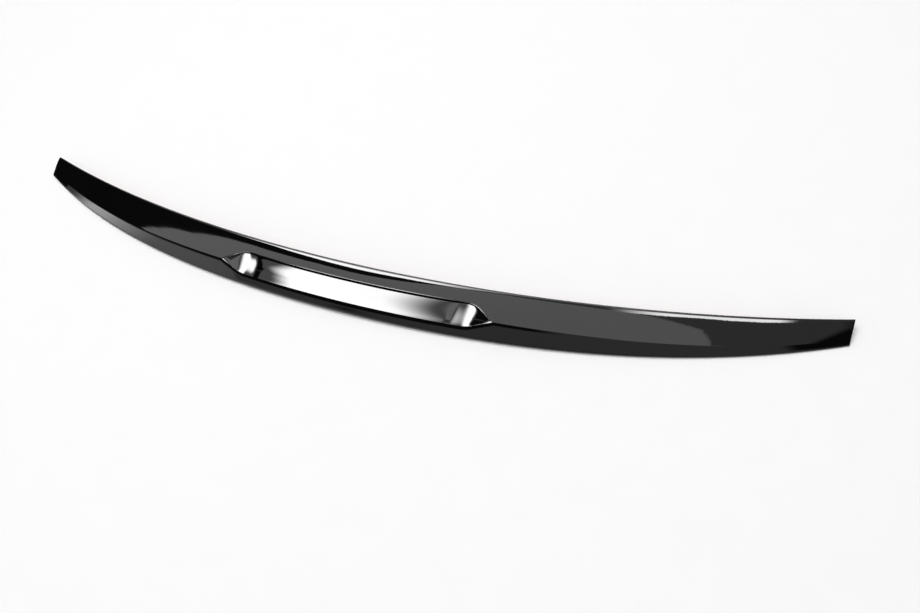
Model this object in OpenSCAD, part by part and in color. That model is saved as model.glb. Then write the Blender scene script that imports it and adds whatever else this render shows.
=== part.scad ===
// Boot-lid lip spoiler: one bowed moulding with a crisp trailing crease and a scoop cut in its middle.
// X runs along the spoiler, +Y points to the front of the car, +Z is up.
// It lies on its rear lower edge; the origin is below the middle of its outline.

/* [Overall shape] */
// Length from tip to tip
span = 1180; // [1060:10:1300]
// How far the rear lower edge bows forward at the tips
rear_sweep = 116; // [90:1:140]

/* [Section at the middle] */
// Distance from the rear lower edge to the trailing crease, measured forward
crease_in_mid = 15.5; // [12:0.5:19]
// Height of the trailing crease
crease_h_mid = 27; // [24:0.5:30]
// Distance from the rear lower edge to the front edge
depth_mid = 62; // [58:0.5:70]
// Height of the corner that the front edge is rolled from
front_h_mid = 28; // [26:0.5:31]
// Radius of the rolled front edge
front_roll_mid = 9; // [7:0.5:10]
// Radius of the rounded rear lower edge
lower_round_mid = 5; // [4:0.5:6]

/* [Section at the tips] */
// Distance from the rear lower edge to the trailing crease, measured forward
crease_in_tip = 4.6; // [4:0.2:6]
// Height of the trailing crease
crease_h_tip = 5; // [4.6:0.2:6]
// Distance from the rear lower edge to the front edge
depth_tip = 27; // [25:0.5:31]
// Height of the corner that the front edge is rolled from
front_h_tip = 14.5; // [13:0.5:16]
// Radius of the rolled front edge
front_roll_tip = 4; // [3:0.5:5]
// Radius of the rounded rear lower edge
lower_round_tip = 1.5; // [1:0.1:2]

/* [Edges] */
// Angle that the domed top face turns through between the crease and the rolled edge
top_turn = 8; // [4:1:12]
// Angle that the front edge rolls over from the line between the crease and its corner
front_turn = 66; // [60:1:72]
// Straight lip below the rolled front edge
front_lip = 1.2; // [0.8:0.1:2]
// Radius along the trailing crease
crease_r = 1.2; // [0.8:0.1:2]

/* [Scoop] */
// Length of the scoop between its two points
scoop_span = 400; // [320:5:460]
// Length of each end wall along the top face
scoop_ramp_top = 30; // [26:1:40]
// Length of each end wall along the rear face
scoop_ramp_rear = 33; // [26:1:44]
// Reach of the soft corner between end wall and back wall, on the top face
scoop_soft_top = 16; // [8:1:20]
// Reach of the soft corner between end wall and back wall, on the rear face
scoop_soft_rear = 12; // [4:1:20]
// Cut into the top face at the middle, measured from the crease line
scoop_top_mid = 20.5; // [16:0.5:23]
// Cut into the top face near the ends, measured from the crease line
scoop_top_end = 23; // [18:0.5:25]
// Cut down the rear face at the middle, measured from the crease line
scoop_drop_mid = 13.8; // [11:0.1:16]
// Cut down the rear face near the ends, measured from the crease line
scoop_drop_end = 10.5; // [9:0.1:14]
// Hollow of the scoop's back wall
scoop_hollow = 2; // [0.6:0.1:2.4]
// Distance from the scoop's point to the bend where the back wall is fully hollow
scoop_hollow_ramp = 54; // [48:1:60]

/* [Hollow underside] */
// Wall of the moulding
wall = 2.8; // [2.2:0.1:3.2]
// Width of the bonding land behind the front edge
front_land = 15; // [13:0.5:17]
// Width of the bonding land along the rear lower edge
rear_land = 12; // [11:0.5:14]
// Distance from the middle to the end of the hollow
hollow_reach = 430; // [380:5:450]
// Greatest distance between two cross ribs
rib_pitch = 86; // [60:1:110]
// Thickness of a cross rib
rib_t = 2.4; // [2:0.1:3]

/* [Bonding tape] */
// Width of the foam tape on the front land
front_tape_w = 10; // [8:0.5:11]
// Width of the foam tape on the rear land
rear_tape_w = 6; // [5:0.5:7]
// Thickness of the foam tape
tape_t = 1.1; // [0.8:0.1:1.4]
// Thickness of the release liner
liner_t = 0.2; // [0.1:0.05:0.3]
// Distance from the front edge to the tape
front_tape_in = 2.5; // [2:0.1:3]
// Distance from the rounded rear edge to the tape
rear_tape_in = 4; // [3.6:0.1:5]
// Distance from the middle to the end of the front tape
front_tape_reach = 540; // [480:5:560]
// Distance from the middle to the end of the rear tape
rear_tape_reach = 470; // [420:5:500]

/* [Hidden] */

half = span / 2;
scoop_half = scoop_span / 2;
y_mid = (rear_sweep + depth_tip) / 2 + front_reach(1) / 2;

// How each size tapers: the share that follows the fourth power of the distance from the middle
sweep_curl = 0.28;
crease_in_curl = 0.17;
crease_h_curl = -0.69;
depth_curl = 0.56;
front_h_curl = 0.42;

// Gap between the land, the tape and its liner, for a twist of the land between two sections
seat_gap = 0.1;
// Reach of the bend where the scoop's end wall meets its hollow back wall
hollow_soft = 4;
// Wall measured square to the lands, for a skin that slopes 30 degrees to them
wall_rise = wall / cos(30);
// Depth by which a cut passes the surface that it opens
cut_over = 1;

// Points on the rounded lower edge, across the scoop or the crease, on the top face and on the rolled edge
lower_n = 5;
scoop_n = 6;
top_n = 3;
roll_n = 6;
// Points along the roof of the hollow
roof_n = 6;

function ease(t, curl) = (1 - curl) * t * t + curl * t * t * t * t;
function taper(mid, tip, t, curl) = mid + (tip - mid) * ease(t, curl);
function dir(a) = [cos(a), sin(a)];
function angle_of(v) = atan2(v[1], v[0]);
function round_corner(c, r, a0, a1, n) = [for (i = [0:n - 1]) c + r * dir(a0 + (a1 - a0) * i / (n - 1))];
function spaced(a, b, n) = [for (i = [0:n - 1]) a + (b - a) * i / n];

// Ramp from 0 at the scoop's point to 1 on its back wall, with a soft corner between the two
function ramp(d, length, soft) =
    let (q = min(1, max(0, (d - length + soft) / (2 * soft))))
    d <= 0 ? 0
    : d <= length - soft ? d / length
    : (length - soft + 2 * soft * (q - pow(q, 3) + pow(q, 4) / 2)) / length;

// Sizes of the section at x
function t_at(x) = abs(x) / half;
function rear_y(x) = rear_sweep * ease(t_at(x), sweep_curl) - y_mid;
function lower_r(x) = lower_round_mid + (lower_round_tip - lower_round_mid) * t_at(x);
function roll_r(x) = front_roll_mid + (front_roll_tip - front_roll_mid) * t_at(x);
function lower_centre(x) = [rear_y(x) + lower_r(x), lower_r(x)];
function crease(x) = [
    rear_y(x) + taper(crease_in_mid, crease_in_tip, t_at(x), crease_in_curl),
    taper(crease_h_mid, crease_h_tip, t_at(x), crease_h_curl)];
function front_corner(x) = [
    rear_y(x) + taper(depth_mid, depth_tip, t_at(x), depth_curl),
    taper(front_h_mid, front_h_tip, t_at(x), front_h_curl)];

// Slopes of the faces of the section at x
function top_a(x) = angle_of(front_corner(x) - crease(x));
function rear_a(x) =
    let (v = crease(x) - lower_centre(x))
    angle_of(v) - asin(lower_r(x) / norm(v));
function roll_tangent(r) = r * tan(front_turn / 2);

// The domed top face, at a distance d from the crease towards the rolled edge
function top_len(x) =
    norm(front_corner(x) - crease(x)) - roll_tangent(roll_r(x)) + roll_r(x) * sin(top_turn / 2);
function top_rise(x, d) = tan(top_turn / 2) * d * (1 - d / top_len(x));
function on_top(x, d) = crease(x) + d * dir(top_a(x)) + top_rise(x, d) * dir(top_a(x) + 90);

function front_foot(x) = front_corner(x) + (roll_tangent(roll_r(x)) + front_lip) * dir(top_a(x) - front_turn);
function land_a(x) =
    let (v = front_foot(x) - lower_centre(x))
    angle_of(v) + asin(lower_r(x) / norm(v));
function land_start(x) = lower_centre(x) + lower_r(x) * dir(land_a(x) - 90);
function land_len(x) = norm(front_foot(x) - land_start(x));

// How far the rolled front edge stands before or behind its corner, at a share t of the half length
function front_reach(t) =
    let (
        r = front_roll_mid + (front_roll_tip - front_roll_mid) * t,
        top = angle_of([depth_tip - crease_in_tip, front_h_tip - crease_h_tip])
    )
    (roll_tangent(r) + front_lip) * cos(top - front_turn);

// The scoop at x: its edges on the rear face and on the top face, measured from the crease line
function inset(x, mid, end) = mid + (end - mid) * pow(abs(x) / scoop_half, 2);
function crease_tangent(x) = crease_r * tan((rear_a(x) - top_a(x)) / 2);
function scoop_low(x) = max(crease_tangent(x),
    inset(x, scoop_drop_mid, scoop_drop_end) * ramp(scoop_half - abs(x), scoop_ramp_rear, scoop_soft_rear));
function scoop_high(x) = max(crease_tangent(x),
    inset(x, scoop_top_mid, scoop_top_end) * ramp(scoop_half - abs(x), scoop_ramp_top, scoop_soft_top));
function crease_bulge(x) = crease_r * (1 - cos((rear_a(x) - top_a(x)) / 2));
function scoop_bulge(x) =
    let (d = scoop_half - abs(x))
    d > 0 ? -scoop_hollow * ramp(d, scoop_hollow_ramp, hollow_soft) : crease_bulge(x);

// Points from the rear face to the top face: a small round, or the hollow back wall of the scoop
function trailing_points(x) =
    let (
        low = crease(x) - scoop_low(x) * dir(rear_a(x)),
        high = on_top(x, scoop_high(x)),
        out = dir(angle_of(high - low) + 90)
    )
    [for (i = [0:scoop_n - 1]) let (s = i / (scoop_n - 1))
        low + s * (high - low) + 4 * s * (1 - s) * scoop_bulge(x) * out];

// Rounded lower edge, from the land over its lowest point to the rear face
function lower_points(x) =
    let (c = lower_centre(x), r = lower_r(x))
    concat([land_start(x)], round_corner(c, r, -90, rear_a(x) - 270, lower_n - 1));

function top_points(x) =
    [for (i = [1:top_n]) on_top(x, scoop_high(x) + (top_len(x) - scoop_high(x)) * i / (top_n + 1))];

function roll_points(x) =
    let (
        r = roll_r(x),
        c = front_corner(x) - roll_tangent(r) * dir(top_a(x)) - r * dir(top_a(x) + 90)
    )
    round_corner(c, r, top_a(x) + 90 - top_turn / 2, top_a(x) + 90 - front_turn, roll_n);

function upper_points(x) = concat(trailing_points(x), top_points(x), roll_points(x));
function section(x) = concat([front_foot(x)], lower_points(x), upper_points(x));

// Coordinates on the land: how far forward of its rear end, and how high above it
function on_land(x, p) =
    let (v = p - land_start(x), a = land_a(x))
    [v * dir(a), v * dir(a + 90)];
function from_land(x, uv) = land_start(x) + uv[0] * dir(land_a(x)) + uv[1] * dir(land_a(x) + 90);

// Skin above the land, as height over distance, and the roof of the hollow below it
function skin(x) = [for (p = upper_points(x)) on_land(x, p)];
function hollow_section(x) =
    let (
        u0 = rear_land,
        u1 = land_len(x) - front_land,
        table = skin(x),
        low = table[0],
        roof = [for (i = [0:roof_n - 1]) let (u = u0 + (u1 - u0) * i / (roof_n - 1))
            [u, (u < low[0] ? low[1] - (low[0] - u) * tan(rear_a(x) - land_a(x)) : lookup(u, table)) - wall_rise]]
    )
    [for (uv = concat([[u1, -cut_over], [u0, -cut_over]], roof)) from_land(x, uv)];

// Section of a strip that lies under the land, from u to u + w and from v0 down to v0 - t
function strip_section(x, u, w, v0, t) =
    [for (uv = [[u + w, v0 - t], [u, v0 - t], [u, v0], [u + w, v0]]) from_land(x, uv)];

// Places along X: close together at the ends of the scoop, wider apart elsewhere
ramp_zone = scoop_half - max(scoop_ramp_top + scoop_soft_top, scoop_ramp_rear + scoop_soft_rear,
    scoop_hollow_ramp + hollow_soft);
half_places = concat(spaced(0, ramp_zone, 11), spaced(ramp_zone, scoop_half, 17), spaced(scoop_half, half, 30));
places = concat([for (i = [len(half_places) - 1:-1:0]) -half_places[i]],
    [for (i = [1:len(half_places) - 1]) half_places[i]]);
body_places = concat([-half], places, [half]);
function between(list, a, b) = concat([a], [for (x = list) if (x > a + 0.5 && x < b - 0.5) x], [b]);

// Solid through a row of sections, each given as [y, z] points, clockwise seen from +X
module loft(xs, sections) {
    n = len(sections[0]);
    m = len(xs);
    points = [for (i = [0:m - 1]) for (p = sections[i]) [xs[i], p[0], p[1]]];
    sides = [for (i = [0:m - 2]) for (j = [0:n - 1]) let (
            a = i * n + j,
            b = i * n + (j + 1) % n,
            c = b + n,
            d = a + n
        ) each [[a, b, c], [a, c, d]]];
    first_end = [for (j = [n - 1:-1:0]) j];
    last_end = [for (j = [0:n - 1]) (m - 1) * n + j];
    polyhedron(points, concat([first_end], sides, [last_end]));
}

// Hollow cells between the cross ribs, open towards the boot lid
module hollow_cells() {
    cells = ceil(2 * hollow_reach / rib_pitch);
    pitch = 2 * hollow_reach / cells;
    for (k = [0:cells - 1]) {
        x0 = -hollow_reach + k * pitch + rib_t / 2;
        xs = between(body_places, x0, x0 + pitch - rib_t);
        loft(xs, [for (x = xs) hollow_section(x)]);
    }
}

module body() {
    color("#0b0b0c")
    difference() {
        loft(body_places, [for (x = body_places) section(x)]);
        hollow_cells();
    }
}

// Strip of one thickness along a land
module front_strip(v0, t) {
    xs = between(body_places, -front_tape_reach, front_tape_reach);
    loft(xs, [for (x = xs) strip_section(x, land_len(x) - front_tape_in - front_tape_w, front_tape_w, v0, t)]);
}

module rear_strip(v0, t) {
    xs = between(body_places, -rear_tape_reach, rear_tape_reach);
    loft(xs, [for (x = xs) strip_section(x, rear_tape_in, rear_tape_w, v0, t)]);
}

module front_tape() {
    color("#3a3a3c") front_strip(-seat_gap, tape_t);
}

module rear_tape() {
    color("#3a3a3c") rear_strip(-seat_gap, tape_t);
}

module front_liner() {
    color("#b5231f") front_strip(-2 * seat_gap - tape_t, liner_t);
}

module rear_liner() {
    color("#b5231f") rear_strip(-2 * seat_gap - tape_t, liner_t);
}

body();
front_tape();
rear_tape();
front_liner();
rear_liner();
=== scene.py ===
import math

import bpy
import numpy as np
from mathutils import Matrix, Vector


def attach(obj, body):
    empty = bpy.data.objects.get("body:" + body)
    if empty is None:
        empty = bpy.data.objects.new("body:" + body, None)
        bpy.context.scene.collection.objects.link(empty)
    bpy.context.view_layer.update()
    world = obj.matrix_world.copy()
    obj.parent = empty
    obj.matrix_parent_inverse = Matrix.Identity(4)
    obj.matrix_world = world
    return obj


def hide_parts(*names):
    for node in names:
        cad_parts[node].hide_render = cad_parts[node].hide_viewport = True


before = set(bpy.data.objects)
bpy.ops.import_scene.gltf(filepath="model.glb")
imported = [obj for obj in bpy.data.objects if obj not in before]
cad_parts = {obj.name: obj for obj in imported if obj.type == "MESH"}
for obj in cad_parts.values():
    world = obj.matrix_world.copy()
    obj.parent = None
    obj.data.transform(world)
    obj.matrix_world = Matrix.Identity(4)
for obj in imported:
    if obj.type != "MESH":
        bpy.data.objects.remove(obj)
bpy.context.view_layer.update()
MM = 0.001
TINY = 1e-6

# Sizes of the moulding in millimetres, as the solid has them. A pair holds the values in the
# middle and at the tips.
SPAN = 1180.0
HALF = SPAN / 2
REAR_SWEEP = 116.0
CREASE_IN = (15.5, 4.6)
CREASE_H = (27.0, 5.0)
DEPTH = (62.0, 27.0)
FRONT_H = (28.0, 14.5)
FRONT_ROLL = (9.0, 4.0)
LOWER_ROUND = (5.0, 1.5)
FRONT_TURN = math.radians(66)
FRONT_LIP = 1.2
TOP_TURN = math.radians(8)

# How much of each change from the middle to the tips follows the fourth power, not the square
SWEEP_CURL = 0.28
CREASE_IN_CURL = 0.17
CREASE_H_CURL = -0.69
DEPTH_CURL = 0.56
FRONT_H_CURL = 0.42

# The scoop, whose ends ramp down to two points on the crease. A pair holds the values in the
# middle and at those points.
SCOOP_HALF = 200.0
SCOOP_TOP = (20.5, 22.4)
SCOOP_DROP = (13.8, 10.5)
RAMP_TOP, SOFT_TOP = 31.0, 13.0
RAMP_REAR, SOFT_REAR = 33.0, 9.0
SCOOP_HOLLOW = 2.0
HOLLOW_RAMP, HOLLOW_SOFT = 54.0, 4.0

# A fine line down the corner between an end wall and the back wall of the scoop, at its
# distances from the scoop's point along the lower and the upper edge
GROOVE = 0.3
GROOVE_WIDTH = 9.0
GROOVE_LOW, GROOVE_HIGH = 59.0, 54.0

# A steeper rim along the top of the scoop's wall: its height, which is at most a share of the
# wall's, its depth as a share of its height, and how it starts behind the scoop's points
RIM = 3.0
RIM_SHARE = 0.2
RIM_DEPTH = 0.15
RIM_START = 5.0
RIM_RAMP = 12.0
RIM_SOFT = 0.4 * RIM_RAMP

# The rear face rolls gently over towards the crease and the scoop, by this share of the turn
# between the faces and over at most this share of the wall
BROW_SHARE = 0.28
BROW = (6.2, 3.6)
BROW_LIMIT = 0.85

# The hollow underside and its cross ribs. Its roof lies below the skin by the wall's height,
# which is its thickness measured upright through a skin that slopes by 30 degrees.
WALL_T = 2.8
WALL_RISE = WALL_T / math.cos(math.radians(30))
FRONT_LAND = 15.0
REAR_LAND = 12.0
HOLLOW_REACH = 430.0
RIB_PITCH = 86.0
RIB_T = 2.4

# Past the scoop's points the crease keeps the narrow face that the scoop has at this distance
# behind its point, and at the tips at a distance shorter by this share
EDGE_CUT = 2.5
EDGE_CUT_LOSS = 0.6

# Small radii that moulded and painted edges have, and the shares of their faces they may use
CREASE_R = 0.3
CREASE_LIMIT = 0.1
FOOT_R = 0.5
FOOT_LIMIT = 0.5
TIP_R = 0.6

# How finely the skin is laid out: the steps along X, where the fine ones are, and how close a
# station may come to a fixed one
STEP = 2.0
FINE_STEP = 1.0
FINE_FROM, FINE_TO = 140, 206
CLOSEST = 0.45 * FINE_STEP

# Points round the section, along the roof of the hollow, and rings round the tips
FOOT_N, LAND_N, LOWER_N, REAR_N, BROW_N = 5, 2, 16, 5, 6
EDGE_N, WALL_N, TOP_N, ROLL_N = 3, 16, 12, 22
ROOF_N = 6
TIP_N = 4
SHARP_ANGLE = math.radians(28)

# The camera of the photograph: it stands to the right of the middle and looks down on the rear
CAMERA_YAW = math.radians(37.78)
CAMERA_PITCH = math.radians(51.32)
CAMERA_ROLL = math.radians(-18.07)
CAMERA_TARGET = Vector((0.1401, -0.0212, 0.0))
CAMERA_DISTANCE = 1.2447
CAMERA_CLIP = (0.05, 50)
FOCAL_PIXELS = 1000.0
PICTURE_WIDTH = 920.0
SENSOR = 36.0

# The room's own light, and the soft lamp over the part
WORLD_LEVEL = 0.5
LAMP_POWER = 62.0
LAMP_SIZE = 2.4
LAMP_PLACE = Vector((-0.35, 0.25, 3.5))

# The floor's reach, and what it adds to its own light where it is seen
FLOOR_REACH = 6.0
FLOOR_GLOW = 0.14

# The cards: how far out they hang, the lights before the cloths, their grid from side to side
# and from row to row, and the sharpest edge they have
LIGHT_DISTANCE, CLOTH_DISTANCE = 30.0, 32.0
CARD_ACROSS, CARD_BETWEEN = 12, 4
LEAST_SOFT = 0.001


def ease(t, curl):
    return (1 - curl) * t**2 + curl * t**4


def taper(ends, t, curl):
    return ends[0] + (ends[1] - ends[0]) * ease(t, curl)


def direction(a):
    return np.stack([np.cos(a), np.sin(a)], -1)


def left_of(a):
    return np.stack([-np.sin(a), np.cos(a)], -1)


def angle_of(v):
    return np.arctan2(v[..., 1], v[..., 0])


def ramp(d, length, soft):
    """0 at the scoop's point, 1 on its back wall, with a soft corner of the given reach."""
    q = np.clip((d - length + soft) / (2 * soft), 0, 1)
    corner = (length - soft + 2 * soft * (q - q**3 + q**4 / 2)) / length
    return np.where(d <= 0, 0.0, np.where(d <= length - soft, d / length, corner))


def groove(d, place):
    """Depth of the fine line where an end wall of the scoop meets its back wall."""
    q = np.clip((d - place) / GROOVE_WIDTH + 0.5, 0, 1)
    return GROOVE * (ramp(d, HOLLOW_RAMP, HOLLOW_SOFT) - q * q * (3 - 2 * q))


def col(v):
    return np.asarray(v)[..., None]


def dot(a, b):
    return np.einsum("ij,ij->i", a, b)


class Sections:
    """The section of the moulding at each x, as [y, z] in millimetres."""

    def __init__(self, x):
        t = np.abs(x) / HALF
        tip_top = math.atan2(FRONT_H[1] - CREASE_H[1], DEPTH[1] - CREASE_IN[1])
        roll_end = FRONT_ROLL[1] * math.tan(FRONT_TURN / 2) + FRONT_LIP
        y_mid = (REAR_SWEEP + DEPTH[1] + roll_end * math.cos(tip_top - FRONT_TURN)) / 2
        self.x = x
        self.rear = REAR_SWEEP * ease(t, SWEEP_CURL) - y_mid
        self.lower_r = LOWER_ROUND[0] + (LOWER_ROUND[1] - LOWER_ROUND[0]) * t
        self.roll_r = FRONT_ROLL[0] + (FRONT_ROLL[1] - FRONT_ROLL[0]) * t
        self.lower_c = np.stack([self.rear + self.lower_r, self.lower_r], -1)
        crease_y = self.rear + taper(CREASE_IN, t, CREASE_IN_CURL)
        front_y = self.rear + taper(DEPTH, t, DEPTH_CURL)
        self.crease = np.stack([crease_y, taper(CREASE_H, t, CREASE_H_CURL)], -1)
        self.front = np.stack([front_y, taper(FRONT_H, t, FRONT_H_CURL)], -1)
        self.set_faces()
        self.set_land()
        self.set_scoop(t)

    def set_faces(self):
        """The top face, and the rear face up to the crease."""
        v = self.front - self.crease
        self.top_a = angle_of(v)
        self.roll_t = self.roll_r * math.tan(FRONT_TURN / 2)
        self.top_len = np.hypot(v[:, 0], v[:, 1]) - self.roll_t
        self.top_len += self.roll_r * math.sin(TOP_TURN / 2)
        v = self.crease - self.lower_c
        self.rear_a = angle_of(v) - np.arcsin(self.lower_r / np.hypot(v[:, 0], v[:, 1]))

    def set_land(self):
        """The lip, and the flat land that runs back from it to the lower edge."""
        self.lip_a = self.top_a - FRONT_TURN
        self.foot = self.front + col(self.roll_t + FRONT_LIP) * direction(self.lip_a)
        v = self.foot - self.lower_c
        self.land_a = angle_of(v) + np.arcsin(self.lower_r / np.hypot(v[:, 0], v[:, 1]))
        self.land_start = self.lower_c - col(self.lower_r) * left_of(self.land_a)
        v = self.foot - self.land_start
        self.land_len = np.hypot(v[:, 0], v[:, 1])

    def set_scoop(self, t):
        """The scoop's edges and wall, and past its ends the narrow face along the crease."""
        away = np.abs(self.x)
        d = np.maximum(SCOOP_HALF - away, EDGE_CUT * (1 - EDGE_CUT_LOSS * t))
        share = np.minimum(away / SCOOP_HALF, 1) ** 2
        drop = SCOOP_DROP[0] + (SCOOP_DROP[1] - SCOOP_DROP[0]) * share
        inset = SCOOP_TOP[0] + (SCOOP_TOP[1] - SCOOP_TOP[0]) * share
        low = drop * ramp(d, RAMP_REAR, SOFT_REAR) + groove(d, GROOVE_LOW)
        high = inset * ramp(d, RAMP_TOP, SOFT_TOP) + groove(d, GROOVE_HIGH)
        slope = math.tan(TOP_TURN / 2) * (1 - 2 * high / self.top_len)
        self.low = self.crease - col(low) * direction(self.rear_a)
        self.high = self.on_top(high)
        self.high_a = self.top_a + np.arctan(slope)
        chord = self.high - self.low
        self.reach = np.hypot(chord[:, 0], chord[:, 1])
        self.chord_a = angle_of(chord)
        self.hollow = SCOOP_HOLLOW * ramp(d, HOLLOW_RAMP, HOLLOW_SOFT) * (away < SCOOP_HALF)
        self.tilt = np.arctan2(4 * self.hollow, self.reach)
        behind = np.maximum(SCOOP_HALF - RIM_START - away, 0)
        self.rim = np.minimum(RIM, RIM_SHARE * self.reach)
        self.rim_depth = RIM_DEPTH * ramp(behind, RIM_RAMP, RIM_SOFT)
        self.set_brow(t)

    def set_brow(self, t):
        """The bend at the top of the rear face, and the corner that it makes with the wall."""
        over = BROW_SHARE * (self.rear_a - self.top_a)
        self.brow_a = self.rear_a - over
        slant = np.sin(self.brow_a - self.chord_a + self.tilt)
        meet = (BROW[0] + (BROW[1] - BROW[0]) * t) * np.tan(over / 2) * np.cos(over)
        meet = np.minimum(meet, BROW_LIMIT * self.reach * slant)
        self.brow_r = meet / (np.cos(over) * (1 - np.cos(over)))
        self.corner = self.low + col(meet / slant) * direction(self.chord_a - self.tilt)
        left = 1 - 2 * meet / slant / self.reach
        self.wall_a = self.chord_a - np.arctan(np.tan(self.tilt) * left)

    def on_top(self, d):
        rise = math.tan(TOP_TURN / 2) * d * (1 - d / self.top_len)
        return self.crease + col(d) * direction(self.top_a) + col(rise) * left_of(self.top_a)

    def on_land(self, u, v):
        along, across = direction(self.land_a), left_of(self.land_a)
        return self.land_start + col(u) * along + col(v) * across


def bend(corner, a_in, a_out, radius, limit, n):
    """Points of a round in a corner where the outline turns from a_in to a_out. The round
    starts no further from the corner than the limit."""
    slope = np.tan((a_in - a_out) / 2)
    tangent = np.minimum(radius * np.abs(slope), limit)
    r = tangent / np.where(np.abs(slope) < TINY, TINY, slope)
    centre = corner - col(tangent) * direction(a_in) - col(r) * left_of(a_in)
    turns = [a_in + (a_out - a_in) * k / (n - 1) for k in range(n)]
    return [centre + col(r) * left_of(a) for a in turns]


def straight(a, b, n):
    """Points strictly between a and b."""
    return [a + (b - a) * k / (n + 1) for k in range(1, n + 1)]


def arc(centre, r, a0, a1, n):
    return [centre + col(r) * direction(a0 + (a1 - a0) * k / (n - 1)) for k in range(n)]


def scoop_wall(s, start, end):
    """Points of the hollow back wall from start to end, closer together towards its rim."""
    middle = (s.low + s.high) / 2 - col(2 * s.hollow) * left_of(s.chord_a)
    first, last = [dot(p - s.low, direction(s.chord_a)) / s.reach for p in (start, end)]
    wall = []
    for share in 1 - (1 - np.arange(1, WALL_N + 1) / (WALL_N + 1)) ** 2:
        q = col(first + (last - first) * share)
        under = np.clip(1 - (1 - q) * col(s.reach / s.rim), 0, 1)
        depth = col(s.rim_depth * s.rim) * (1 - under**2) * q
        point = (1 - q) ** 2 * s.low + 2 * q * (1 - q) * middle + q**2 * s.high
        wall.append(point - depth * left_of(s.chord_a))
    return wall


def outline(s):
    """Ring of points round the section, and how many of them lie before the land: the foot,
    the land, the lower edge, the rear face and its brow, the scoop, the top and the roll."""
    quarter = math.pi / 2
    foot = bend(s.foot, s.lip_a, s.land_a - math.pi, FOOT_R, FOOT_LIMIT * FRONT_LIP, FOOT_N)
    land = [s.on_land(s.land_len - FRONT_LAND, 0 * s.x), s.on_land(REAR_LAND + 0 * s.x, 0 * s.x)]
    lower = arc(s.lower_c, s.lower_r, s.land_a - quarter, s.rear_a - 3 * quarter, LOWER_N)
    low = bend(s.corner, s.brow_a, s.wall_a, CREASE_R, CREASE_LIMIT * s.reach, EDGE_N)
    rim_a = s.chord_a + s.tilt + np.arctan(2 * s.rim_depth)
    high = bend(s.high, rim_a, s.high_a, CREASE_R, CREASE_LIMIT * s.rim, EDGE_N)
    brow_c = low[0] - col(s.brow_r) * left_of(s.brow_a)
    brow = arc(brow_c, s.brow_r, s.rear_a + quarter, s.brow_a + quarter, BROW_N)[:-1]
    rear = straight(lower[-1], brow[0], REAR_N)
    wall = scoop_wall(s, low[-1], high[0])
    start = dot(high[-1] - s.crease, direction(s.top_a))
    top = [s.on_top(d) for d in straight(start, s.top_len, TOP_N)]
    roll_c = s.front - col(s.roll_t) * direction(s.top_a) - col(s.roll_r) * left_of(s.top_a)
    upright = s.top_a + quarter
    roll = arc(roll_c, s.roll_r, upright - TOP_TURN / 2, upright - FRONT_TURN, ROLL_N)
    ring = foot + land + lower + rear + brow + low + wall + high + top + roll
    return np.stack(ring, 1), len(foot)


def skin_height(points, s, u):
    """Height of the outer skin above the land, at distance u along it, for each section."""
    rel = points - s.land_start[:, None, :]
    along = np.einsum("ijk,ik->ij", rel, direction(s.land_a))
    above = np.einsum("ijk,ik->ij", rel, left_of(s.land_a))
    return np.array([np.interp(u[i], along[i], above[i]) for i in range(len(u))])


def hollow_roof(s, ring, mouth):
    """Points along the roof of the hollow, from the rear land to the front land."""
    skin = ring[:, mouth + LAND_N + LOWER_N:, :]
    u0 = REAR_LAND + 0 * s.x
    u1 = s.land_len - FRONT_LAND
    roof = []
    for k in range(ROOF_N):
        u = u0 + (u1 - u0) * k / (ROOF_N - 1)
        roof.append(s.on_land(u, skin_height(skin, s, u) - WALL_RISE))
    return np.stack(roof, 1)


def cell_ends():
    """Where each cell between two ribs starts and ends along X."""
    cells = math.ceil(2 * HOLLOW_REACH / RIB_PITCH)
    pitch = 2 * HOLLOW_REACH / cells
    ribs = [-HOLLOW_REACH + k * pitch for k in range(cells + 1)]
    return [(a + RIB_T / 2, b - RIB_T / 2) for a, b in zip(ribs[:-1], ribs[1:])]


def stations(cells):
    """Places along X: a step apart, closer over the scoop's ends, and one at each rib's face."""
    tip = HALF - TIP_R
    fixed = [0.0, SCOOP_HALF, -SCOOP_HALF, tip, -tip] + [x for pair in cells for x in pair]
    places = list(fixed)
    x = -HALF + TIP_R
    while x < tip:
        if min(abs(x - f) for f in fixed) > CLOSEST:
            places.append(x)
        x += FINE_STEP if FINE_FROM < abs(x) < FINE_TO else STEP
    return np.array(sorted(places))


def band(a, b):
    """Faces between two rings of indices, which are closed and run the same way."""
    n = len(a)
    return [(a[j], b[j], b[(j + 1) % n], a[(j + 1) % n]) for j in range(n)]


def tip_rings(ring, x_end, side):
    """Rings that round a tip over, by moving the section inwards along its own normals."""
    along = np.roll(ring, -1, 0) - np.roll(ring, 1, 0)
    along /= np.maximum(np.linalg.norm(along, axis=1), TINY)[:, None]
    inward = np.stack([along[:, 1], -along[:, 0]], -1)
    rings = []
    for k in range(1, TIP_N + 1):
        a = math.radians(90 * k / TIP_N)
        points = ring + inward * TIP_R * (1 - math.cos(a))
        rings.append((x_end + side * TIP_R * math.sin(a), points))
    return rings


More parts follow.
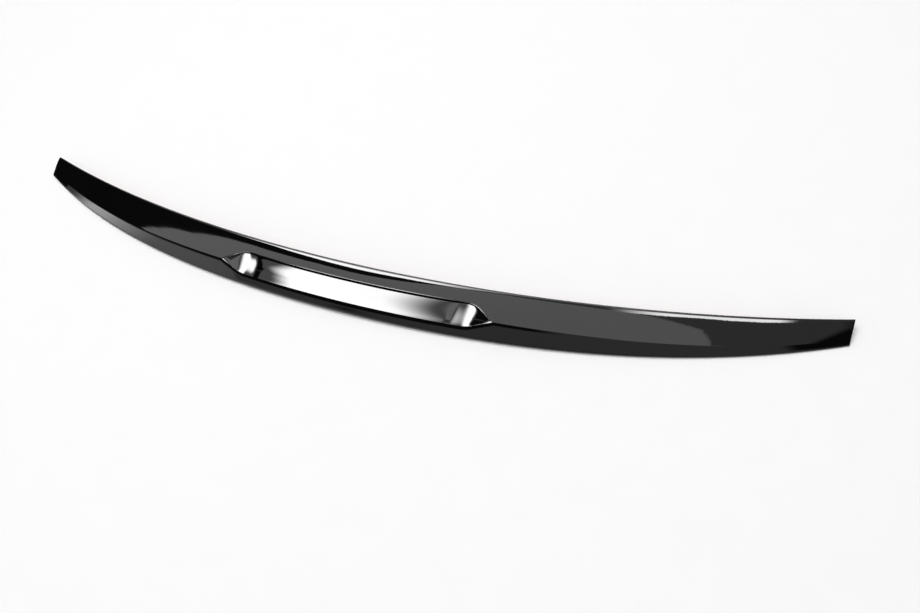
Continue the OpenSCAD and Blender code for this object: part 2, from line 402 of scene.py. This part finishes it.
def moulding_mesh():
    """The skin along all stations, with the cells let into its land and both tips closed."""
    cells = cell_ends()
    x = stations(cells)
    s = Sections(x)
    ring, mouth = outline(s)
    roof = hollow_roof(s, ring, mouth)
    m, n = ring.shape[:2]
    verts = [np.concatenate([np.repeat(x, n)[:, None], ring.reshape(-1, 2)], 1)]
    faces = []
    in_cell = np.zeros(m - 1, bool)
    for a, b in cells:
        in_cell |= (x[:-1] >= a - TINY) & (x[1:] <= b + TINY)
    for i in range(m - 1):
        skin = band(range(i * n, (i + 1) * n), range((i + 1) * n, (i + 2) * n))
        faces += [face for j, face in enumerate(skin) if j != mouth or not in_cell[i]]
    count = m * n
    for a, b in cells:
        at = [i for i in range(m) if a - TINY <= x[i] <= b + TINY]
        block = np.concatenate([np.repeat(x[at], ROOF_N)[:, None], roof[at].reshape(-1, 2)], 1)
        verts.append(block)
        rows = []
        for q, i in enumerate(at):
            inner = [count + q * ROOF_N + k for k in range(ROOF_N)]
            rows.append([i * n + mouth + 1] + inner + [i * n + mouth])
        for p, q in zip(rows[:-1], rows[1:]):
            faces += [(p[k], p[k + 1], q[k + 1], q[k]) for k in range(len(p) - 1)]
        faces += [tuple(rows[0][::-1]), tuple(rows[-1])]
        count += len(block)
    for side, row in ((-1, 0), (1, m - 1)):
        last = list(range(row * n, (row + 1) * n))
        for x_ring, points in tip_rings(ring[row], x[row], side):
            verts.append(np.concatenate([np.full((n, 1), x_ring), points], 1))
            new = list(range(count, count + n))
            faces += [face if side > 0 else face[::-1] for face in band(last, new)]
            count += n
            last = new
        faces.append(tuple(last if side < 0 else last[::-1]))
    mesh = bpy.data.meshes.new("moulding")
    mesh.from_pydata((np.concatenate(verts) * MM).tolist(), [], faces)
    mesh.validate()
    mesh.shade_smooth()
    mesh.set_sharp_from_angle(angle=SHARP_ANGLE)
    return mesh


def material(name):
    m = bpy.data.materials.new(name)
    m.use_nodes = True
    tree = m.node_tree
    return m, tree, tree.nodes["Principled BSDF"]


def node(tree, kind, **values):
    """New node with the given values, which are inputs where it has one of that name."""
    n = tree.nodes.new(kind)
    for key, value in values.items():
        if key in n.inputs:
            n.inputs[key].default_value = value
        else:
            setattr(n, key, value)
    return n


def combined(tree, operation, a, b):
    """Result of a maths node on two sockets."""
    both = node(tree, "ShaderNodeMath", operation=operation)
    tree.links.new(a, both.inputs[0])
    tree.links.new(b, both.inputs[1])
    return both.outputs["Value"]


def noise_on_object(tree, scale, detail, roughness=0.5):
    place = node(tree, "ShaderNodeTexCoord")
    noise = node(tree, "ShaderNodeTexNoise", Scale=scale, Detail=detail, Roughness=roughness)
    tree.links.new(place.outputs["Object"], noise.inputs["Vector"])
    return noise.outputs["Fac"]


def ranged(tree, source, low, high):
    spread = node(tree, "ShaderNodeMapRange")
    spread.inputs["To Min"].default_value = low
    spread.inputs["To Max"].default_value = high
    tree.links.new(source, spread.inputs["Value"])
    return spread.outputs["Result"]


def bumped(tree, shader, height, strength, distance):
    bump = node(tree, "ShaderNodeBump", Strength=strength, Distance=distance)
    tree.links.new(height, bump.inputs["Height"])
    tree.links.new(bump.outputs["Normal"], shader.inputs["Normal"])


def tinted(tree, shader, source, low, high):
    colours = node(tree, "ShaderNodeValToRGB")
    colours.color_ramp.elements[0].color = (*low, 1)
    colours.color_ramp.elements[1].color = (*high, 1)
    tree.links.new(source, colours.inputs["Fac"])
    tree.links.new(colours.outputs["Color"], shader.inputs["Base Color"])


def roughened(tree, shader, source, low, high):
    tree.links.new(ranged(tree, source, low, high), shader.inputs["Roughness"])


def gloss_black():
    """Black moulding under clear gloss, with the faint waviness of a painted skin."""
    m, tree, shader = material("gloss_black")
    shader.inputs["IOR"].default_value = 1.5
    cloud = noise_on_object(tree, scale=9, detail=3)
    tinted(tree, shader, cloud, low=(0.0015, 0.0015, 0.0017), high=(0.003, 0.003, 0.0033))
    roughened(tree, shader, cloud, low=0.01, high=0.03)
    peel = noise_on_object(tree, scale=420, detail=2)
    bumped(tree, shader, peel, strength=0.02, distance=0.0002)
    return m


def foam():
    """Closed-cell acrylic foam, dark grey and matte."""
    m, tree, shader = material("foam_tape")
    cells = noise_on_object(tree, scale=2600, detail=4, roughness=0.7)
    tinted(tree, shader, cells, low=(0.03, 0.03, 0.031), high=(0.075, 0.075, 0.077))
    roughened(tree, shader, cells, low=0.75, high=0.95)
    bumped(tree, shader, cells, strength=0.5, distance=0.0002)
    return m


def liner():
    """Red release film, satin, with faint long creases."""
    m, tree, shader = material("release_liner")
    creases = noise_on_object(tree, scale=60, detail=3, roughness=0.6)
    tinted(tree, shader, creases, low=(0.5, 0.018, 0.012), high=(0.64, 0.035, 0.022))
    roughened(tree, shader, creases, low=0.28, high=0.42)
    bumped(tree, shader, creases, strength=0.25, distance=0.0006)
    return m


def dress(name, finish):
    node_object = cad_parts[name]
    node_object.data.materials.clear()
    node_object.data.materials.append(finish)


def make_moulding():
    piece = bpy.data.objects.new("moulding", moulding_mesh())
    bpy.context.scene.collection.objects.link(piece)
    piece.data.materials.append(gloss_black())
    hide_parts("body")
    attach(piece, "root")


def make_camera():
    cy, sy = math.cos(CAMERA_YAW), math.sin(CAMERA_YAW)
    cp, sp = math.cos(CAMERA_PITCH), math.sin(CAMERA_PITCH)
    look = Vector((-sy * cp, cy * cp, -sp))
    right = Vector((cy, sy, 0.0))
    up = right.cross(look)
    right, up = (
        right * math.cos(CAMERA_ROLL) + up * math.sin(CAMERA_ROLL),
        up * math.cos(CAMERA_ROLL) - right * math.sin(CAMERA_ROLL),
    )
    data = bpy.data.cameras.new("camera")
    data.sensor_width = SENSOR
    data.lens = FOCAL_PIXELS / PICTURE_WIDTH * SENSOR
    data.clip_start, data.clip_end = CAMERA_CLIP
    camera = bpy.data.objects.new("camera", data)
    bpy.context.scene.collection.objects.link(camera)
    place = Matrix.Translation(CAMERA_TARGET - look * CAMERA_DISTANCE)
    camera.matrix_world = place @ Matrix((right, up, -look)).transposed().to_4x4()
    bpy.context.scene.camera = camera


def toward(azimuth, elevation):
    """Direction at an azimuth, from +Y towards +X, and an elevation, both in degrees."""
    az, el = math.radians(azimuth), math.radians(elevation)
    return np.array([math.sin(az) * math.cos(el), math.cos(az) * math.cos(el), math.sin(el)])


def overhead(x, y):
    """Direction of a point on a ceiling, in its heights to the right and to the front."""
    return np.array([x, y, 1.0])


def ceiling_rows(*pairs):
    return [(overhead(*start), overhead(*end)) for start, end in pairs]


def round_rows(*pairs):
    return [(toward(*start), toward(*end)) for start, end in pairs]


def panel(name, rows, distance, finish):
    """Curved card through rows of directions, each from a start to an end, that only
    reflections show. Its UV runs from 0 to 1 both ways."""
    rows = [[way / np.linalg.norm(way) for way in row] for row in rows]
    down = CARD_BETWEEN * (len(rows) - 1)
    verts, places = [], []
    for j in range(down + 1):
        k = min(j // CARD_BETWEEN, len(rows) - 2)
        v = j / CARD_BETWEEN - k
        for i in range(CARD_ACROSS + 1):
            u = i / CARD_ACROSS
            before, after = [(1 - u) * row[0] + u * row[1] for row in rows[k:k + 2]]
            way = (1 - v) * before + v * after
            verts.append((way / np.linalg.norm(way) * distance).tolist())
            places.append((u, j / down))
    n = CARD_ACROSS + 1
    corners = [j * n + i for j in range(down) for i in range(CARD_ACROSS)]
    faces = [(c, c + 1, c + n + 1, c + n) for c in corners]
    mesh = bpy.data.meshes.new(name)
    mesh.from_pydata(verts, [], faces)
    layer = mesh.uv_layers.new(name="across")
    for loop in mesh.loops:
        layer.data[loop.index].uv = places[loop.vertex_index]
    mesh.materials.append(finish)
    card = bpy.data.objects.new(name, mesh)
    bpy.context.scene.collection.objects.link(card)
    card.visible_camera = False
    card.visible_diffuse = False


def edge_falloff(tree, coordinate, soft):
    """1 over the middle of a card, and 0 at its two edges, reached over the given shares."""
    levels = []
    for start, share in ((0.0, soft[0]), (1.0, soft[1])):
        fall = node(tree, "ShaderNodeMapRange", interpolation_type="SMOOTHSTEP")
        fall.inputs["From Min"].default_value = start
        fall.inputs["From Max"].default_value = start + (1 - 2 * start) * max(share, LEAST_SOFT)
        tree.links.new(coordinate, fall.inputs["Value"])
        levels.append(fall.outputs["Result"])
    return combined(tree, "MULTIPLY", *levels)


def faded(name, shader_kind, values, across, down):
    """A card's finish, which turns clear towards its edges over the given shares of it."""
    m = bpy.data.materials.new(name)
    m.use_nodes = True
    tree = m.node_tree
    tree.nodes.clear()
    place = node(tree, "ShaderNodeTexCoord")
    split = node(tree, "ShaderNodeSeparateXYZ")
    tree.links.new(place.outputs["UV"], split.inputs["Vector"])
    level_across = edge_falloff(tree, split.outputs["X"], across)
    level_down = edge_falloff(tree, split.outputs["Y"], down)
    mix = node(tree, "ShaderNodeMixShader")
    tree.links.new(combined(tree, "MULTIPLY", level_across, level_down), mix.inputs["Fac"])
    tree.links.new(node(tree, "ShaderNodeBsdfTransparent").outputs["BSDF"], mix.inputs[1])
    tree.links.new(node(tree, shader_kind, **values).outputs[0], mix.inputs[2])
    out = node(tree, "ShaderNodeOutputMaterial")
    tree.links.new(mix.outputs["Shader"], out.inputs["Surface"])
    return m


def softbox(name, rows, level, across, down, distance=LIGHT_DISTANCE):
    values = {"Strength": level}
    panel(name, rows, distance, faded(name, "ShaderNodeEmission", values, across, down))


def dark_cloth(name, rows, across, down):
    values = {"Color": (0.02, 0.02, 0.02, 1)}
    panel(name, rows, CLOTH_DISTANCE, faded(name, "ShaderNodeBsdfDiffuse", values, across, down))


def make_lamp():
    """A wide soft lamp that lights the part and the floor; the cards give the reflections."""
    data = bpy.data.lights.new("overhead_lamp", "AREA")
    data.shape = "DISK"
    data.size = LAMP_SIZE
    data.energy = LAMP_POWER
    lamp = bpy.data.objects.new("overhead_lamp", data)
    bpy.context.scene.collection.objects.link(lamp)
    lamp.location = LAMP_PLACE
    lamp.rotation_euler = LAMP_PLACE.to_track_quat("Z", "Y").to_euler()
    lamp.visible_glossy = False


def make_lights():
    """Cards that the part mirrors: a pale ceiling, a lamp behind it, a side lamp and strips."""
    softbox("ceiling", ceiling_rows(
        ((-1.30, 0.085), (-1.28, 0.04)), ((-1.15, 0.21), (-1.12, 0.12)),
        ((-1.0, 0.37), (-0.95, 0.2)), ((-0.955, 0.45), (-0.84, 0.3)),
        ((-0.905, 0.54), (-0.75, 0.4)), ((-0.865, 0.60), (-0.70, 0.42)),
        ((-0.80, 0.655), (-0.66, 0.42)), ((-0.74, 0.69), (-0.62, 0.42)),
        ((-0.50, 0.70), (-0.55, 0.42)), ((-0.41, 0.65), (-0.45, 0.40)),
        ((-0.235, 0.45), (-0.38, 0.25)), ((-0.09, 0.26), (-0.25, 0.05)),
        ((0.06, 0.05), (-0.1, -0.12)), ((0.135, -0.09), (0, -0.25)),
        ((0.22, -0.29), (0.05, -0.5)), ((0.32, -0.55), (0.1, -0.7)),
    ), level=1.75, across=(0.015, 0.001), down=(0.001, 0.03))
    softbox("key", ceiling_rows(
        ((-0.72, 0.36), (-0.36, 0.36)), ((-0.73, 0.1), (-0.36, 0.1)),
        ((-0.755, -0.1), (-0.36, -0.1)), ((-0.85, -0.35), (-0.36, -0.35)),
        ((-0.915, -0.58), (-0.36, -0.58)), ((-1.0, -0.81), (-0.36, -0.81)),
    ), level=24, across=(0.14, 0.34), down=(0.04, 0.04), distance=27.0)
    softbox("key_fringe", ceiling_rows(
        ((-0.76, 0.36), (-0.325, 0.36)), ((-0.78, 0.11), (-0.325, 0.11)),
        ((-0.775, 0.0), (-0.325, 0.0)), ((-0.80, -0.18), (-0.325, -0.18)),
        ((-0.835, -0.24), (-0.325, -0.24)), ((-0.90, -0.4), (-0.325, -0.4)),
        ((-1.0, -0.58), (-0.325, -0.58)), ((-1.09, -0.81), (-0.325, -0.81)),
    ), level=1.15, across=(0.02, 0.08), down=(0.03, 0.03), distance=28.0)
    softbox("key_side", ceiling_rows(
        ((-0.37, 0.14), (-0.28, 0.14)), ((-0.38, -0.25), (-0.285, -0.25)),
        ((-0.38, -0.45), (-0.28, -0.45)), ((-0.41, -0.64), (-0.25, -0.64)),
        ((-0.46, -0.85), (-0.25, -0.85)),
    ), level=2.6, across=(0.1, 0.3), down=(0.05, 0.05), distance=28.5)
    softbox("side", round_rows(
        ((-97, 14), (-97, 23)), ((-106, 12), (-106, 21.5)),
        ((-114, 9), (-114, 18.5)), ((-122, 7), (-122, 16)),
    ), level=4.6, across=(0.2, 0.06), down=(0.25, 0.8))
    softbox("side_far", round_rows(
        ((-108, 8), (-108, 20)), ((-120, 7), (-120, 16)),
        ((-140, 5), (-140, 13)), ((-150, 5), (-150, 14)),
    ), level=1.2, across=(0.2, 0.1), down=(0.2, 0.6), distance=31.0)
    softbox("strip", ceiling_rows(
        ((-1.5, 1.7), (-0.86, 0.765)), ((-1.5, 2.4), (-0.78, 0.77)),
        ((-1.2, 2.6), (-0.6, 0.76)), ((-0.9, 2.4), (-0.52, 0.72)),
        ((-0.6, 2.0), (-0.42, 0.66)),
    ), level=19, across=(0.9, 0.015), down=(0.08, 0.4))
    softbox("strip_far", ceiling_rows(
        ((-3.0, 4.6), (-1.4, 1.6)), ((-3.0, 6.0), (-1.2, 2.0)),
        ((-1.6, 6.0), (-0.7, 1.8)), ((-0.6, 3.0), (-0.2, 1.2)),
        ((-0.2, 2.0), (0.0, 0.8)),
    ), level=2.6, across=(0.4, 0.4), down=(0.1, 0.3), distance=31.0)
    softbox("strip_right", ceiling_rows(
        ((-0.40, 1.2), (-0.18, 0.365)), ((-0.29, 1.05), (-0.12, 0.295)),
        ((-0.22, 0.94), (-0.06, 0.235)), ((-0.14, 0.84), (0.0, 0.185)),
        ((-0.08, 0.75), (0.06, 0.125)), ((-0.01, 0.67), (0.13, 0.07)),
        ((0.06, 0.61), (0.2, 0.03)),
    ), level=19, across=(0.9, 0.015), down=(0.35, 0.12))


def make_cloths():
    """Dark cards that the part mirrors between the lights."""
    dark_cloth("cloth_left", round_rows(
        ((-96, 12), (-96, 23)), ((-94, 12), (-93, 50)), ((-80, 12), (-85, 56)),
        ((-62, 10), (-70, 54)), ((-48, 8), (-52, 47)), ((-40, 8), (-46, 40)),
    ), across=(0.05, 0.02), down=(0.02, 0.05))
    dark_cloth("cloth_rear", round_rows(
        ((-94, 23.5), (-94, 56)), ((-106, 22.5), (-104, 56)), ((-116, 19.5), (-112, 56)),
        ((-128, 16.5), (-122, 56)), ((-145, 16), (-140, 55)), ((-160, 19), (-155, 58)),
        ((-172, 26), (-165, 62)), ((-180, 33), (-175, 70)),
    ), across=(0.06, 0.02), down=(0.001, 0.1))
    dark_cloth("cloth_low", round_rows(
        ((-97, 0), (-97, 11)), ((-110, 0), (-110, 8)), ((-125, 0), (-125, 6)),
        ((-150, 0), (-150, 8)), ((-180, 0), (-180, 18)), ((-210, 0), (-210, 30)),
    ), across=(0.01, 0.2), down=(0.01, 0.1))
    dark_cloth("cloth_band", ceiling_rows(
        ((-0.98, 0.56), (-0.98, 0.80)), ((-0.88, 0.60), (-0.88, 0.775)),
        ((-0.78, 0.665), (-0.78, 0.765)), ((-0.6, 0.68), (-0.6, 0.765)),
        ((-0.5, 0.69), (-0.48, 0.755)), ((-0.38, 0.66), (-0.32, 0.72)),
    ), across=(0.02, 0.1), down=(0.01, 0.2))
    dark_cloth("cloth_right", ceiling_rows(
        ((0.27, 0.02), (0.8, 0.3)), ((0.33, -0.1), (0.9, -0.1)),
        ((0.36, -0.25), (0.9, -0.4)), ((0.40, -0.5), (0.9, -0.7)),
    ), across=(0.1, 0.1), down=(0.05, 0.1))


def make_world():
    world = bpy.data.worlds.new("studio")
    world.use_nodes = True
    bpy.context.scene.world = world
    back = world.node_tree.nodes["Background"]
    back.inputs["Color"].default_value = (1, 1, 1, 1)
    back.inputs["Strength"].default_value = WORLD_LEVEL


def make_floor():
    """Pale floor that keeps the part's shadow and glows a little where it is seen."""
    r = FLOOR_REACH
    mesh = bpy.data.meshes.new("floor")
    mesh.from_pydata([(-r, -r, 0), (r, -r, 0), (r, r, 0), (-r, r, 0)], [], [(0, 1, 2, 3)])
    floor = bpy.data.objects.new("floor", mesh)
    bpy.context.scene.collection.objects.link(floor)
    m, tree, shader = material("pale_floor")
    paper = noise_on_object(tree, scale=30, detail=3)
    tinted(tree, shader, paper, low=(0.86, 0.86, 0.86), high=(0.9, 0.9, 0.9))
    shader.inputs["Roughness"].default_value = 0.8
    shader.inputs["Specular IOR Level"].default_value = 0.1
    paths = node(tree, "ShaderNodeLightPath")
    glow = node(tree, "ShaderNodeEmission")
    add = node(tree, "ShaderNodeAddShader")
    seen = paths.outputs["Is Camera Ray"]
    for kind in ("Is Glossy Ray", "Is Transmission Ray"):
        seen = combined(tree, "MAXIMUM", seen, paths.outputs[kind])
    tree.links.new(ranged(tree, seen, low=0.0, high=FLOOR_GLOW), glow.inputs["Strength"])
    tree.links.new(shader.outputs["BSDF"], add.inputs[0])
    tree.links.new(glow.outputs["Emission"], add.inputs[1])
    tree.links.new(add.outputs["Shader"], tree.nodes["Material Output"].inputs["Surface"])
    floor.data.materials.append(m)


bpy.context.scene.view_settings.view_transform = "Standard"
make_camera()
make_moulding()
dress("front_tape", foam())
dress("rear_tape", foam())
dress("front_liner", liner())
dress("rear_liner", liner())
make_world()
make_lamp()
make_lights()
make_cloths()
make_floor()
